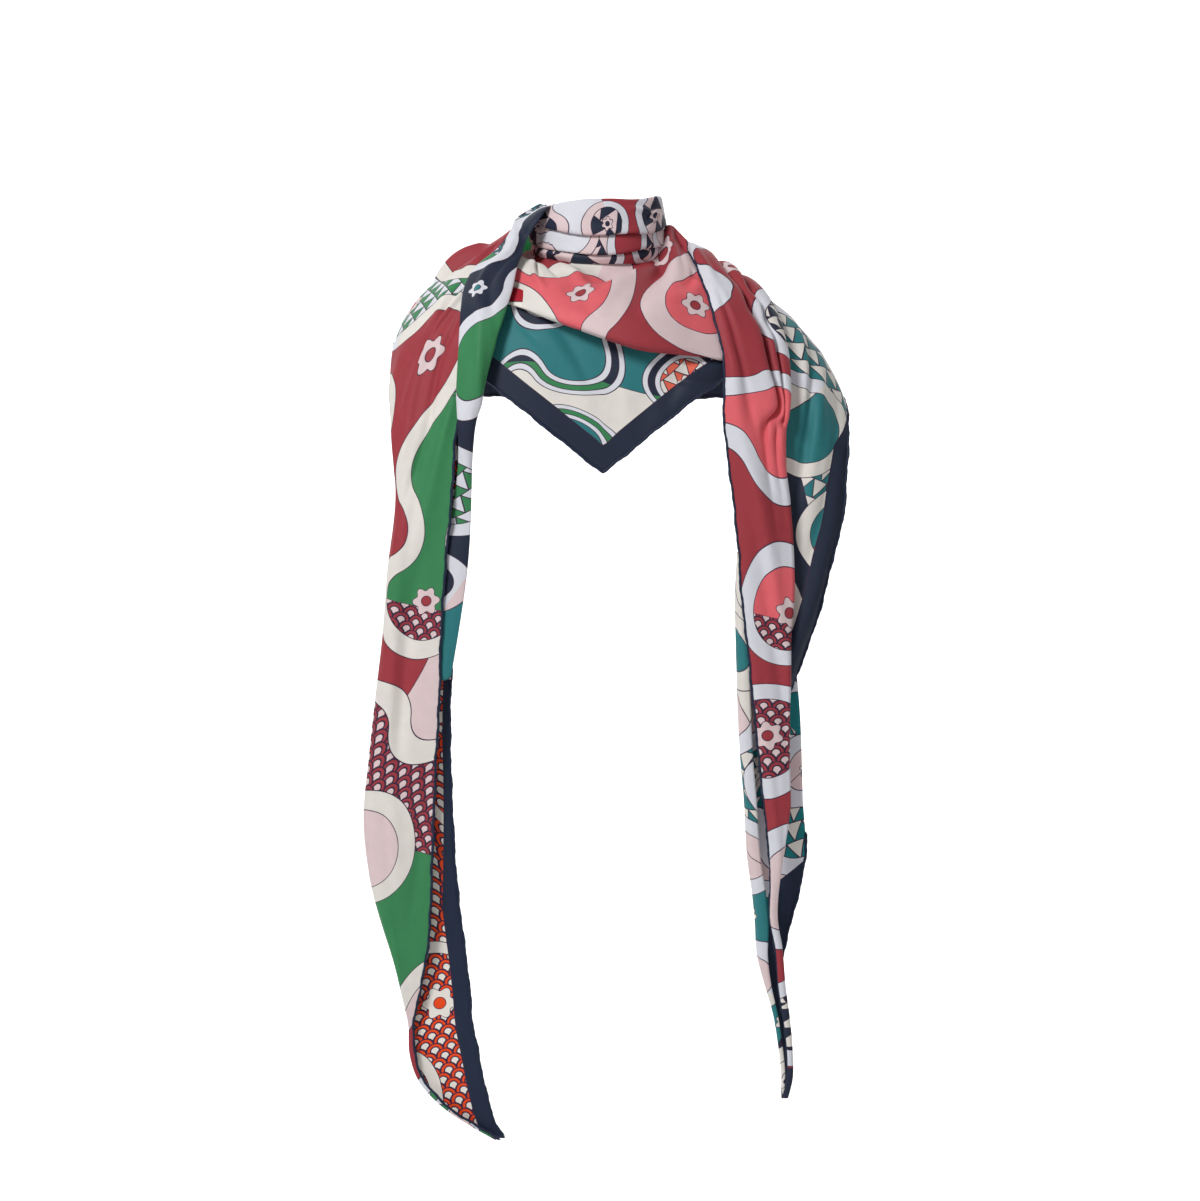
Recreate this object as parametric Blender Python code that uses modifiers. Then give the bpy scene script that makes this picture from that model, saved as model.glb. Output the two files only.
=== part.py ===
"""A large silk twill triangle scarf, worn with its point in front.

The cloth is one right-angled triangle with short edges of 1.40 m. Its long edge lies folded round
the neck, the point hangs on the chest, and both ends cross behind the neck and come forward over
the shoulders as two tails. The wearer isn't modelled: FIGURE only says where a general figure
holds the cloth.

Every stretch of cloth is a net of section nodes worked out from a short table, one row for each
section. A smooth surface goes through the net, and Solidify gives it the wall.
Tables are in millimetres: x to the right of the picture, y away from the viewer, z up from the
base of the neck. The objects are in metres.
"""

import math
from collections import namedtuple

import bpy
import numpy as np

MM = 0.001

# Driving dimensions, in millimetres.
WALL = 1.6
SEAM_GAP = 1.4               # between a wing and the tail it runs into
WRAP_SEAM = 2.0              # between the neck wrap's lower edge and the cloth under it
SHOULDER_DROP = 105          # height over which the cloth turns from the shoulder's top to vertical
ROUNDNESS = 2.5              # 2 makes the figure's sections ellipses, more makes them squarer
NECK_CENTRE = -4
NECK_HALF_WIDTH = 47
NECK_HALF_DEPTH = 50

# The surface that holds the top layer of cloth: how far it reaches at each height.
FigureRow = namedtuple("FigureRow", "height left right front back")
FIGURE = [
    FigureRow(-780, 420, 420, 112, 104),
    FigureRow(-400, 330, 330, 117, 104),
    FigureRow(-230, 270, 275, 120, 104),
    FigureRow(-150, 225, 235, 118, 102),
    FigureRow(-131, 212, 214, 117, 101),
    FigureRow(-110, 200, 206, 116, 100),
    FigureRow(-80, 186, 181, 111, 97),
    FigureRow(-56, 174, 164, 103, 93),
    FigureRow(-31, 149, 134, 86, 87),
    FigureRow(-10, 132, 104, 66, 76),
    FigureRow(2, 110, 81, 56, 66),
    FigureRow(9, 96, 66, 54, 62),
    FigureRow(17, 86, 60, 53, 60),
    FigureRow(26, 77, 53, 53, 59),
    FigureRow(34, 65, 50, 53, 58),
    FigureRow(41, 50, 46, 53, 57),
]

# Folds of the neck wrap, from its top edge down: heights at the left, front, right and back, and
# how far each stands out from the neck.
FoldRow = namedtuple("FoldRow", "left front right back out")
NECK_FOLDS = [
    FoldRow(29, 33, 33, 28, 3),
    FoldRow(38, 44, 43, 38, 5),
    FoldRow(31, 32, 34, 33, 11),
    FoldRow(22, 15, 22, 26, 7),
    FoldRow(15, 6, 13, 20, 13),
    FoldRow(9, -2, 5, 15, 9),
    FoldRow(3, -8, -2, 10, 13),
    FoldRow(-5, -13, -9, 4, 10),
]

# The cowl that bulges over the bib: each row is one run of cloth, from just under the neck wrap
# down to the lip. turn is where it starts round the neck: 0 in front, 90 on the right side.
CowlRow = namedtuple("CowlRow", "turn out rise lip_x lip_z belly")
COWL = [
    CowlRow(-80, 9, 0, -87, -46, -6),
    CowlRow(-62, 9, 0, -74, -50, -1),
    CowlRow(-42, 9, 0, -45, -62, 11),
    CowlRow(-20, 9, 0, -23, -70, 16),
    CowlRow(3, 9, 0, 8, -81, 18),
    CowlRow(25, 9, 0, 32, -88, 18),
    CowlRow(45, 11, 0, 62, -91, 13),
    CowlRow(58, 14, 0, 84, -93, 6),
    CowlRow(70, 16, 20, 104, -96, 2),
    CowlRow(83, 16, 33, 116, -92, 0),
    CowlRow(84, 30, 16, 130, -90, -2),
]
COWL_TUCK = 16

# The bib below the cowl, down to the point: x and z of its lower edge and of its hidden top.
BibRow = namedtuple("BibRow", "top_x top_z edge_x edge_z")
BIB_LEFT = [
    BibRow(-98, -46, -110, -106),
    BibRow(-78, -40, -86, -125),
    BibRow(-52, -48, -58, -147),
    BibRow(-26, -56, -28, -171),
    BibRow(2, -66, 0, -193),
]
BIB_RIGHT = [
    BibRow(2, -66, 0, -193),
    BibRow(28, -74, 27, -171),
    BibRow(54, -78, 54, -149),
    BibRow(80, -80, 82, -127),
    BibRow(104, -82, 114, -106),
]

# Left tail. Over the shoulder a row gives its angle from the shoulder's top line; below, heights.
# inner is the long edge's hem, outer the fold at the silhouette, edge the short edge behind.
ShoulderRow = namedtuple("ShoulderRow", "angle inner outer edge")
LEFT_SHOULDER = [
    ShoulderRow(0, -61, -185, -176),
    ShoulderRow(20, -65, -186, -174),
    ShoulderRow(40, -75, -187, -168),
    ShoulderRow(60, -94, -186, -160),
    ShoulderRow(80, -111, -184, -148),
]
TailRow = namedtuple("TailRow", "height outer_height inner outer edge")
LEFT_TAIL = [
    TailRow(-124, -187, -120, -182, -134),
    TailRow(-160, -208, -127, -180, -122),
    TailRow(-215, -238, -131, -182, -119),
    TailRow(-270, -278, -136, -187, -121),
    TailRow(-330, -330, -140, -191, -129),
    TailRow(-392, -392, -142, -198, -133),
    TailRow(-443, -443, -145, -204, -133),
    TailRow(-495, -495, -147, -209, -131),
    TailRow(-546, -546, -149, -203, -128),
    TailRow(-592, -592, -151, -191, -123),
    TailRow(-623, -623, -155, -182, -119),
    TailRow(-652, -652, -161, -175, -116),
    TailRow(-675, -675, -165, -170, -114),
    TailRow(-700, -700, -164, -169, -109),
    TailRow(-722, -722, -157, -162, -105),
    TailRow(-744, -744, -138, -143, -100),
    TailRow(-762, -762, -112, -117, -94),
    TailRow(-775, -775, -89, -94, -86),
]

# The roll over the left shoulder: both sides of it as seen from the front.
StrandRow = namedtuple("StrandRow", "left_x left_z right_x right_z lift roll")
LEFT_STRAND = [
    StrandRow(-61, 33, -49, 37, 11, 2),
    StrandRow(-70, 23, -57, 25, 10, 4),
    StrandRow(-81, 11, -65, 11, 9, 5),
    StrandRow(-92, 1, -69, 0, 10, 7),
    StrandRow(-110, -14, -74, -14, 10.5, 9),
    StrandRow(-120, -32, -78, -34, 10.5, 10),
    StrandRow(-123, -52, -83, -51, 10, 10),
    StrandRow(-124, -74, -90, -74, 9, 9),
    StrandRow(-125, -98, -97, -98, 9, 9),
    StrandRow(-126, -126, -104, -126, 9, 8),
    StrandRow(-125, -152, -110, -152, 8, 5),
    StrandRow(-125, -182, -113, -182, -1, 4),
    StrandRow(-129, -215, -114, -215, -7, 2),
    StrandRow(-138, -270, -117, -270, -5, 2),
    StrandRow(-143, -325, -124, -325, -4.4, 2),
    StrandRow(-147, -375, -132, -372, -4.2, 2),
]

# Right tail. The front stretch carries the long edge's hem, a narrow valley and a round pleat.
PleatRow = namedtuple("PleatRow", "angle hem valley outer")
RIGHT_FRONT_SHOULDER = [
    PleatRow(0, 72, 97, 139),
    PleatRow(20, 77, 104, 151),
    PleatRow(36, 83, 122, 158),
    PleatRow(52, 91, 138, 162),
    PleatRow(68, 99, 146, 163),
    PleatRow(84, 105, 153, 160),
]
HangRow = namedtuple("HangRow", "height outer_height hem outer pleat")
RIGHT_FRONT = [
    HangRow(-134, -160, 104, 158, 0.6),
    HangRow(-165, -186, 106, 158, 0.3),
    HangRow(-205, -215, 111, 162, 0.1),
    HangRow(-262, -262, 117, 165, 0),
    HangRow(-304, -304, 120, 165, 0),
    HangRow(-334, -334, 124, 162, 0),
    HangRow(-392, -392, 130, 162, 0),
    HangRow(-440, -440, 135, 162, 0),
    HangRow(-478, -478, 139, 162, 0),
    HangRow(-515, -515, 143, 158, 0),
    HangRow(-550, -550, 145, 152, 0),
    HangRow(-581, -581, 145, 151, 0),
    HangRow(-605, -605, 150, 155, 0),
    HangRow(-640, -640, 153, 158, 0),
    HangRow(-668, -668, 157, 162, 0),
    HangRow(-700, -700, 160, 165, 0),
    HangRow(-720, -720, 160, 165, 0),
    HangRow(-737, -737, 157, 161, 0),
]

# The right tail's outer stretch, with the short edge on its right side.
OuterRow = namedtuple("OuterRow", "angle inner outer")
RIGHT_OUTER_SHOULDER = [
    OuterRow(0, 104, 213),
    OuterRow(22, 112, 214),
    OuterRow(45, 128, 214),
    OuterRow(68, 140, 212),
]
OuterHangRow = namedtuple("OuterHangRow", "height outer_height inner outer sink")
RIGHT_OUTER = [
    OuterHangRow(-140, -222, 142, 210, 0),
    OuterHangRow(-180, -244, 142, 206, 0),
    OuterHangRow(-220, -264, 142, 200, 0),
    OuterHangRow(-260, -292, 142, 193, 0),
    OuterHangRow(-300, -321, 142, 185, 1),
    OuterHangRow(-340, -350, 140, 175, 3),
    OuterHangRow(-370, -376, 138, 166, 5),
    OuterHangRow(-398, -400, 136, 156, 6),
]

# The right tail's back stretch, seen left of the hem and, lower down, right of the front stretch.
WidthRow = namedtuple("WidthRow", "height inner outer")
RIGHT_BACK = [
    WidthRow(-262, 116, 150),
    WidthRow(-304, 114, 158),
    WidthRow(-350, 115, 166),
    WidthRow(-398, 116, 171),
    WidthRow(-440, 118, 173),
    WidthRow(-475, 121, 174),
    WidthRow(-530, 125, 176),
    WidthRow(-556, 129, 171),
    WidthRow(-584, 132, 164),
    WidthRow(-613, 134, 157),
    WidthRow(-640, 141, 155),
    WidthRow(-666, 148, 159),
    WidthRow(-690, 152, 162),
    WidthRow(-715, 155, 164),
    WidthRow(-738, 156, 160),
]

# The wings behind: each row runs from just under the neck wrap down to the short edge. turn is
# where it starts round the neck: 180 behind, 270 on the left side.
WingRow = namedtuple("WingRow", "turn edge_x edge_z")
LEFT_WING = [
    WingRow(232, -160, -128),
    WingRow(214, -124, -128),
    WingRow(195, -84, -130),
    WingRow(176, -42, -134),
    WingRow(161, -2, -122),
    WingRow(148, 28, -90),
    WingRow(135, 48, -50),
    WingRow(121, 58, -16),
]
RIGHT_WING = [
    WingRow(122, 186, -150),
    WingRow(138, 148, -142),
    WingRow(155, 106, -130),
    WingRow(172, 66, -134),
    WingRow(187, 22, -132),
    WingRow(203, -18, -104),
    WingRow(214, -42, -64),
]

# How a wing's rows rise and sink between the neck and the short edge: share of the way and lift.
WING_SHARES = [(0.1, -5), (0.19, 0), (0.32, 1), (0.5, 0), (0.68, 1), (0.85, 0), (1, 0)]


def column(table, name):
    """Return one named column of a table as an array."""
    return np.array([getattr(row, name) for row in table], float)


def smooth_curve(points, count):
    """Return count points, evenly spaced, on a smooth curve through the given points."""
    points = np.asarray(points, float)
    steps = np.linalg.norm(np.diff(points, axis=0), axis=1)
    knots = np.concatenate(([0], np.cumsum(steps)))
    slopes = np.gradient(points, knots, axis=0)
    places = np.linspace(0, knots[-1], count)
    span = np.clip(np.searchsorted(knots, places, side="right") - 1, 0, len(steps) - 1)
    length = steps[span][:, None]
    t = (places - knots[span])[:, None] / length
    start, end = points[span], points[span + 1]
    rise, fall = slopes[span] * length, slopes[span + 1] * length
    return (
        start * (1 + 2 * t) * (1 - t) ** 2
        + end * t * t * (3 - 2 * t)
        + rise * t * (1 - t) ** 2
        - fall * t * t * (1 - t)
    )


def joined(parts):
    """Join arrays that share their end rows, without repeating those rows."""
    return np.concatenate([parts[0]] + [part[1:] for part in parts[1:]])


def surface(net, row_spans, column_spans):
    """Return a grid of points through a net of section nodes.

    Each span is (last node, count): it ends at that node and is cut into count steps, so a fold
    or a corner that lies at the end of a span stays on a line of the grid.
    """
    net = np.asarray(net, float)
    flat = net.reshape(len(net), -1)
    rows = []
    first = 0
    for last, count in row_spans:
        rows.append(smooth_curve(flat[first:last + 1], count + 1))
        first = last
    rows = joined(rows).reshape(-1, net.shape[1], 3)
    grid = []
    for nodes in rows:
        line = []
        first = 0
        for last, count in column_spans:
            line.append(smooth_curve(nodes[first:last + 1], count + 1))
            first = last
        grid.append(joined(line))
    return np.array(grid)


def reach(x, height):
    """Return the half width of the figure at a height, on the side where x lies."""
    side = "left" if x < 0 else "right"
    return np.interp(height, column(FIGURE, "height"), column(FIGURE, side))


def ridge(x):
    """Return the height of the shoulder's top line above x."""
    side = "left" if x < 0 else "right"
    reaches = column(FIGURE, side)[::-1]
    return np.interp(abs(x), reaches, column(FIGURE, "height")[::-1])


def worn(x, height, lift, side="front"):
    """Return a point on the figure, lifted off it, on its front or its back."""
    depth = np.interp(height, column(FIGURE, "height"), column(FIGURE, side)) + lift
    share = min(abs(x) / reach(x, height), 1)
    y = depth * (1 - share ** ROUNDNESS) ** (1 / ROUNDNESS)
    return np.array([x, -y if side == "front" else y, height])


def over(x, angle, lift):
    """Return a point on the shoulder above x; the angle is 0 on its top line, 90 in front."""
    lean = math.radians(angle)
    height = ridge(x) - SHOULDER_DROP * (1 - math.cos(lean))
    point = worn(x, height, lift, "front" if angle >= 0 else "back")
    point[1] += neck_setback(x) * (math.cos(lean) if angle > 0 else max(0, 1 + angle / 22))
    point[2] += lift * math.cos(lean)
    return point


def neck_setback(x):
    """Return how far behind the shoulder's middle its top line lies, close to the neck."""
    return 34 * min(max((80 - abs(x)) / 30, 0), 1)


def around_neck(turn, height, out):
    """Return a point round the neck; the turn is 0 in front and 90 on the right side."""
    angle = math.radians(turn)
    x = NECK_CENTRE + (NECK_HALF_WIDTH + out) * math.sin(angle)
    y = -(NECK_HALF_DEPTH + out) * math.cos(angle)
    return np.array([x, y, height])


def blend(first, second, share):
    """Return the value that lies a share of the way from the first to the second."""
    return first + (second - first) * share


def fold_height(fold, turn):
    """Return how high a fold of the neck wrap lies at a turn round the neck."""
    ahead = math.cos(math.radians(turn))
    middle = fold.front if ahead > 0 else fold.back
    flank = fold.right if math.sin(math.radians(turn)) > 0 else fold.left
    return blend(flank, middle, ahead ** 2)


def neck_wrap_ring(steps, columns):
    """Return the neck wrap's sections, all round the neck."""
    ring = []
    for step in range(steps):
        turn = 360 * step / steps
        section = [around_neck(turn, fold_height(fold, turn), fold.out) for fold in NECK_FOLDS]
        ring.append(smooth_curve(section, columns))
    return np.array(ring)


def under_wrap(turn, out, rise=0):
    """Return a point just under the neck wrap's lower edge, or raised outside it."""
    return around_neck(turn, fold_height(NECK_FOLDS[-1], turn) - WRAP_SEAM + rise, out)


def cowl_net():
    """Return the cowl's runs, each down to the lip and tucked back up behind it."""
    net = []
    for row in COWL:
        top = under_wrap(row.turn, row.out, row.rise)
        run = [top]
        for share, base, swell in ((0.12, -6, 0), (0.27, 1, 0.4), (0.52, 3, 0.8), (0.8, 3, 1.05),
                                   (0.95, 3, 1.0)):
            x = blend(top[0], row.lip_x, share)
            height = blend(top[2], row.lip_z, share)
            run.append(worn(x, height, base + row.belly * swell))
        run.append(worn(row.lip_x, row.lip_z, 3 + row.belly * 0.6))
        run.append(worn(row.lip_x, row.lip_z + COWL_TUCK * 0.5, 2.5 + row.belly * 0.25))
        run.append(worn(row.lip_x, row.lip_z + COWL_TUCK, 2.2 + min(row.belly, 0)))
        net.append(run)
    return net


def bib_net(table):
    """Return one half of the bib, each run from under the cowl down to the short edge."""
    net = []
    for row in table:
        under = -5.4 * min(max((-row.edge_x - 60) / 40, 0), 1)
        run = []
        for share in (0, 0.33, 0.67, 1):
            x = blend(row.top_x, row.edge_x, share)
            run.append(worn(x, blend(row.top_z, row.edge_z, share), under))
        net.append(run)
    return net


def book_section(front, back):
    """Return a folded section: the front layer to the silhouette, then the back layer."""
    return [front(0), front(0.3), front(0.65), front(0.92), blend(front(1), back(0), 0.5),
            back(0.1), back(0.4), back(0.7), back(1)]


def left_tail_net():
    """Return the left tail's sections, from the shoulder's top line down to the tip."""
    net = []
    for row in LEFT_SHOULDER:
        net.append(book_section(
            lambda share: over(blend(row.inner, row.outer, share), row.angle, 0),
            lambda share: over(blend(row.outer, row.edge, share), row.angle, -8)))
    for row in LEFT_TAIL:
        gap = min(12, 4 + abs(row.outer - row.inner) * 0.4)
        net.append(book_section(
            lambda share: worn(blend(row.inner, row.outer, share),
                               blend(row.height, row.outer_height, share), gap / 2 - 6),
            lambda share: worn(blend(row.outer, row.edge, share),
                               blend(row.outer_height, row.height, share), -gap / 2 - 6)))
    return net


def strand_net():
    """Return the rolled strand's sections: an open roll, rounded towards the front."""
    net = []
    for row in LEFT_STRAND:
        section = []
        for share, rise in ((0.12, -0.5), (0, 0.1), (0.22, 0.8), (0.5, 1.0), (0.78, 0.8),
                            (1, 0.1), (0.88, -0.5)):
            x = blend(row.left_x, row.right_x, share)
            height = blend(row.left_z, row.right_z, share)
            section.append(worn(x, height, row.lift + row.roll * rise))
        net.append(section)
    return net


def right_front_net():
    """Return the right tail's front stretch, with its valley and round pleat at the top."""
    net = []
    for row in RIGHT_FRONT_SHOULDER:
        middle = blend(row.hem, row.valley, 0.5)
        crest = blend(row.valley, row.outer, 0.5)
        net.append([
            over(row.hem, row.angle, 8),
            over(blend(row.hem, row.valley, 0.12), row.angle, 11),
            over(middle, row.angle, 13),
            over(blend(row.hem, row.valley, 0.88), row.angle, 11),
            over(row.valley, row.angle, 7),
            over(crest, row.angle, 13),
            over(row.outer, row.angle, 8),
            over(blend(row.outer, row.valley, 0.3), row.angle, 4)])
    for row in RIGHT_FRONT:
        def at(share, lift):
            x = blend(row.hem, row.outer, share)
            return worn(x, blend(row.height, row.outer_height, share), lift)
        turn = 2 + 2 * min(abs(row.outer - row.hem) / 20, 1)
        net.append([
            at(0, 8), at(0.12, 10), at(0.4, 11), at(0.7, 11 - 2 * row.pleat),
            at(blend(0.8, 0.85, row.pleat), 11 - 5 * row.pleat), at(0.93, 10),
            at(1, 9 - turn), at(0.9, 8 - 1.5 * turn)])
    return net


def right_outer_net():
    """Return the right tail's outer stretch: a broad round panel with the short edge."""
    net = []
    for row in RIGHT_OUTER_SHOULDER:
        net.append([over(blend(row.inner, row.outer, share), row.angle, lift)
                    for share, lift in ((0, -5), (0.25, -5), (0.4, -1), (0.7, 4), (0.88, 3),
                                        (1, -2))])
    for row in RIGHT_OUTER:
        net.append([worn(blend(row.inner, row.outer, share),
                         blend(row.height, row.outer_height, share), lift - row.sink * share)
                    for share, lift in ((0, -5), (0.25, -5), (0.45, -3), (0.7, 2), (0.9, 0),
                                        (1, -4))])
    return net


def right_back_net():
    """Return the right tail's back stretch, folded over at its left side."""
    net = []
    for row in RIGHT_BACK:
        width = row.outer - row.inner
        turned = min(12, width * 0.4)
        net.append([
            worn(row.inner + turned, row.height, 5.5),
            worn(row.inner + turned * 0.4, row.height, 5),
            worn(row.inner, row.height, -3),
            worn(row.inner + turned * 0.4, row.height, -11),
            worn(row.inner + width * 0.6, row.height, -12),
            worn(row.outer, row.height, -11)])
    return net


def seam_nodes(*sections):
    """Return the nodes where a wing meets the first sections of the tail in front."""
    return smooth_curve(np.concatenate(sections), len(WING_SHARES) + 1)


def wing_net(seam, table, sink):
    """Return a wing behind: from the seam on the shoulder's top line across the back to the neck.

    Its top edge lies just under the neck wrap, and its lower edge is the short edge.
    """
    net = [[point + (0, SEAM_GAP, 0) for point in seam]]
    for angle in (-22, -48):
        net.append([over(x, angle, height - ridge(x) + sink * angle / 60)
                    for x, _, height in seam])
    for row in table:
        top = under_wrap(row.turn, 9 - sink)
        net.append([top] + [worn(blend(top[0], row.edge_x, share),
                                 blend(top[2], row.edge_z, share), lift - sink, "back")
                            for share, lift in WING_SHARES])
    return net


def material(name, colour, roughness=0.5):
    """Return a Principled material."""
    made = bpy.data.materials.new(name)
    made.use_nodes = True
    shader = made.node_tree.nodes["Principled BSDF"]
    shader.inputs["Base Color"].default_value = (*colour, 1)
    shader.inputs["Roughness"].default_value = roughness
    shader.inputs["Metallic"].default_value = 0
    return made


def cloth(name, grid, colour, collection, ring=False):
    """Make one stretch of cloth: an open grid of quads with a Solidify wall."""
    rows, columns = grid.shape[:2]
    points = (grid.reshape(-1, 3) * MM).tolist()
    faces = []
    for row in range(rows if ring else rows - 1):
        here, following = row * columns, (row + 1) % rows * columns
        for place in range(columns - 1):
            faces.append((here + place, here + place + 1, following + place + 1,
                          following + place))
    mesh = bpy.data.meshes.new(name)
    mesh.from_pydata(points, [], faces)
    mesh.shade_smooth()
    piece = bpy.data.objects.new(name, mesh)
    collection.objects.link(piece)
    piece.data.materials.append(material(name + "_silk", colour))
    wall = piece.modifiers.new("wall", "SOLIDIFY")
    wall.thickness = WALL * MM
    wall.offset = 0
    return piece


def main():
    for thing in list(bpy.data.objects):
        bpy.data.objects.remove(thing, do_unlink=True)
    scarf = bpy.data.collections.new("triangle_scarf")
    bpy.context.scene.collection.children.link(scarf)

    crimson = (0.38, 0.03, 0.05)
    navy = (0.02, 0.03, 0.06)
    ivory = (0.83, 0.79, 0.75)
    teal = (0.02, 0.21, 0.25)
    green = (0.04, 0.26, 0.09)

    cloth("neck_wrap", neck_wrap_ring(28, 13), ivory, scarf, ring=True)
    cloth("cowl", surface(cowl_net(), [(10, 20)], [(6, 6), (8, 2)]), crimson, scarf)
    bib = bib_net(BIB_LEFT)[:-1] + bib_net(BIB_RIGHT)
    cloth("bib", surface(bib, [(4, 6), (8, 6)], [(3, 5)]), teal, scarf)
    left_tail = surface(left_tail_net(), [(22, 32)], [(4, 7), (8, 6)])
    cloth("left_tail", left_tail, crimson, scarf)
    cloth("left_strand", surface(strand_net(), [(15, 23)], [(6, 6)]), navy, scarf)
    right_front = surface(right_front_net(), [(23, 32)], [(4, 5), (7, 4)])
    cloth("right_front", right_front, green, scarf)
    right_outer = surface(right_outer_net(), [(11, 15)], [(5, 7)])
    cloth("right_outer", right_outer, teal, scarf)
    cloth("right_back", surface(right_back_net(), [(14, 20)], [(2, 2), (5, 4)]), ivory, scarf)
    left_seam = seam_nodes(left_tail[0, :8])
    cloth("left_wing", surface(wing_net(left_seam, LEFT_WING, 0), [(10, 16)], [(7, 9)]),
          crimson, scarf)
    right_seam = seam_nodes(right_front[0, :9], right_outer[0, 5:])
    cloth("right_wing", surface(wing_net(right_seam, RIGHT_WING, 9), [(9, 15)], [(7, 9)]),
          navy, scarf)


main()
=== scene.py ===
"""Looks of a large silk twill triangle scarf, worn with its point in front.

Each stretch of the cloth is a fine grid of points through the same section tables as the solid
model, in millimetres, with creases added along the surface's normal and a thin shell. Every point
keeps its flat coordinates on the cut cloth, and the print is drawn from those by the materials.
"""

from collections import namedtuple
from math import cos, exp, pi, radians, sin, sqrt

import bpy
import numpy as np
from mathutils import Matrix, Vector
from numpy.linalg import norm


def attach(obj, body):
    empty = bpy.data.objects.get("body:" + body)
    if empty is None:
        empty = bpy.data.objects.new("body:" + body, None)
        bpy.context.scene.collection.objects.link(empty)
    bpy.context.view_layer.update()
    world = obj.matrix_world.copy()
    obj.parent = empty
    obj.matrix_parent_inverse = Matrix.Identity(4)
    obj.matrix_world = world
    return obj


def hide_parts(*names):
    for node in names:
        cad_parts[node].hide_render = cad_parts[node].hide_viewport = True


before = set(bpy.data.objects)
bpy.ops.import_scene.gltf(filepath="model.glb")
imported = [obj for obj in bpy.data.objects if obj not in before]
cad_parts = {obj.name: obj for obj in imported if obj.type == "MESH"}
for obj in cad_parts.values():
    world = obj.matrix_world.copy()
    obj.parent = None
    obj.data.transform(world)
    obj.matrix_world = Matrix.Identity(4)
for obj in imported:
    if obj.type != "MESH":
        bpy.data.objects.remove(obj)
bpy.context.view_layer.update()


def table(names, rows):
    """Return a table's rows, whose columns have these names."""
    named = namedtuple("Row", names)
    return [named(*row) for row in rows]


MM = 0.001
SHELL = 0.5  # thickness of the visible shell: silk twill with its rolled edges
STEP = 2.6  # length of one grid step along and across the cloth
SHORT_HEM = 1.35  # radius of the rolled hem on the short edges
LONG_HEM = 1.2  # and on the long edge
STITCH = 1.3  # length of one step of a hem
BORDER = 18.5  # width of the plain border along the short edges
ROLLED_UNDER = 20  # added to the distance from the edge where the border doesn't show
LINE_WIDTH = 0.8  # of the print's thin dark outlines
FAR = 900.0  # stands for nowhere near the short edge
CURVE_STEPS = 12  # between two nodes of a curve, before it is divided evenly
WING_STEPS = 60  # along a wing's row
COWL_HIDDEN = 8  # how much of the cowl lies behind the neck wrap
NEAR_WING_END = 0.54  # of the right wing's rows: the share that runs into the front stretch
FAR_WING_START = 0.42  # and where the outer stretch's own share starts, outside it
HEM_START = 4  # rows below the shoulder's top line, where the long edge comes out of the neck wrap

# For laying a stretch flat: first every sixth point, then all of them.
COARSE = 6
COARSE_ROUNDS = 200
FINE_ROUNDS = 12
OVERSHOOT = 1.1  # of the moves in one round
ROW_STIFFNESS = 14.0  # how much narrow rows resist turning
EDGE_CHUNK = 40  # points of an edge compared at a time

# In metres and degrees.
FLOOR = -1.30
FLOOR_FRONT = -6.0
FLOOR_BACK = 5.0  # where the floor starts to curve up
FLOOR_CURVE = 2.0  # radius of the curve
FLOOR_HALF_WIDTH = 9.0
BACKDROP_TOP = 6.0
CAMERA_DISTANCE = 3.7
CAMERA_RISE = 3.5  # above the horizon
SENSOR = 36  # width in millimetres
VIEW_WIDTH = 1.044  # of the frame, at the scarf
VIEW_CENTRE = (-0.0026, -0.09, -0.305)

# Only here: the neck wrap's finer sections, in millimetres and degrees.
NECK_TURN = 1.5  # from one section to the next
NECK_POINTS = 85  # in one section
NECK_ROUND = 364.0  # length all round
NECK_TUCKS = (3, 5)  # the rows of NECK_FOLDS that are sharp tucks
TUCK = table("rise out", [(-1.9, 13.4), (-0.9, 11.6), (2.4, 7.0), (-0.6, 10.2)])
TUCK_MIDDLE = 10.5
CORNER_TURN = 74.0  # where the wrap's top stands up in a soft corner
CORNER_SPREAD = 22.0
CORNER_RISE = 4.5
CORNER_OUT = 4.0


# --- Sizes shared with the solid model, in millimetres ---

SHOULDER_DROP = 105
ROUNDNESS = 2.5
NECK_CENTRE = -4
NECK_HALF_WIDTH = 47
NECK_HALF_DEPTH = 50
WRAP_SEAM = 1.2
COWL_TUCK = 16


FIGURE = table("height left right front back", [
    (-780, 420, 420, 112, 104),
    (-400, 330, 330, 117, 104),
    (-230, 270, 275, 120, 104),
    (-150, 225, 235, 118, 102),
    (-131, 212, 214, 117, 101),
    (-110, 200, 206, 116, 100),
    (-80, 186, 181, 111, 97),
    (-56, 174, 164, 103, 93),
    (-31, 149, 134, 86, 87),
    (-10, 132, 104, 66, 76),
    (2, 110, 81, 56, 66),
    (9, 96, 66, 54, 62),
    (17, 86, 60, 53, 60),
    (26, 77, 53, 53, 59),
    (34, 65, 50, 53, 58),
    (41, 50, 46, 53, 57),
])

NECK_FOLDS = table("left front right back out", [
    (29, 33, 33, 28, 3),
    (38, 44, 43, 38, 5),
    (31, 32, 34, 33, 11),
    (22, 15, 22, 26, 7),
    (15, 6, 13, 20, 13),
    (9, -2, 5, 15, 9),
    (3, -8, -2, 10, 13),
    (-5, -13, -9, 4, 10),
])

COWL = table("turn out rise lip_x lip_z belly", [
    (-86, 20, 4, -99, -42, -6),
    (-80, 9, 0, -87, -46, -6),
    (-62, 9, 0, -74, -50, -1),
    (-42, 9, 0, -45, -62, 11),
    (-20, 9, 0, -23, -70, 16),
    (3, 9, 0, 8, -81, 18),
    (25, 9, 0, 32, -88, 18),
    (45, 11, 0, 62, -91, 13),
    (58, 14, 0, 84, -93, 6),
    (70, 16, 20, 104, -96, 2),
    (83, 16, 33, 116, -92, 0),
    (84, 30, 16, 130, -90, -2),
])

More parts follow.
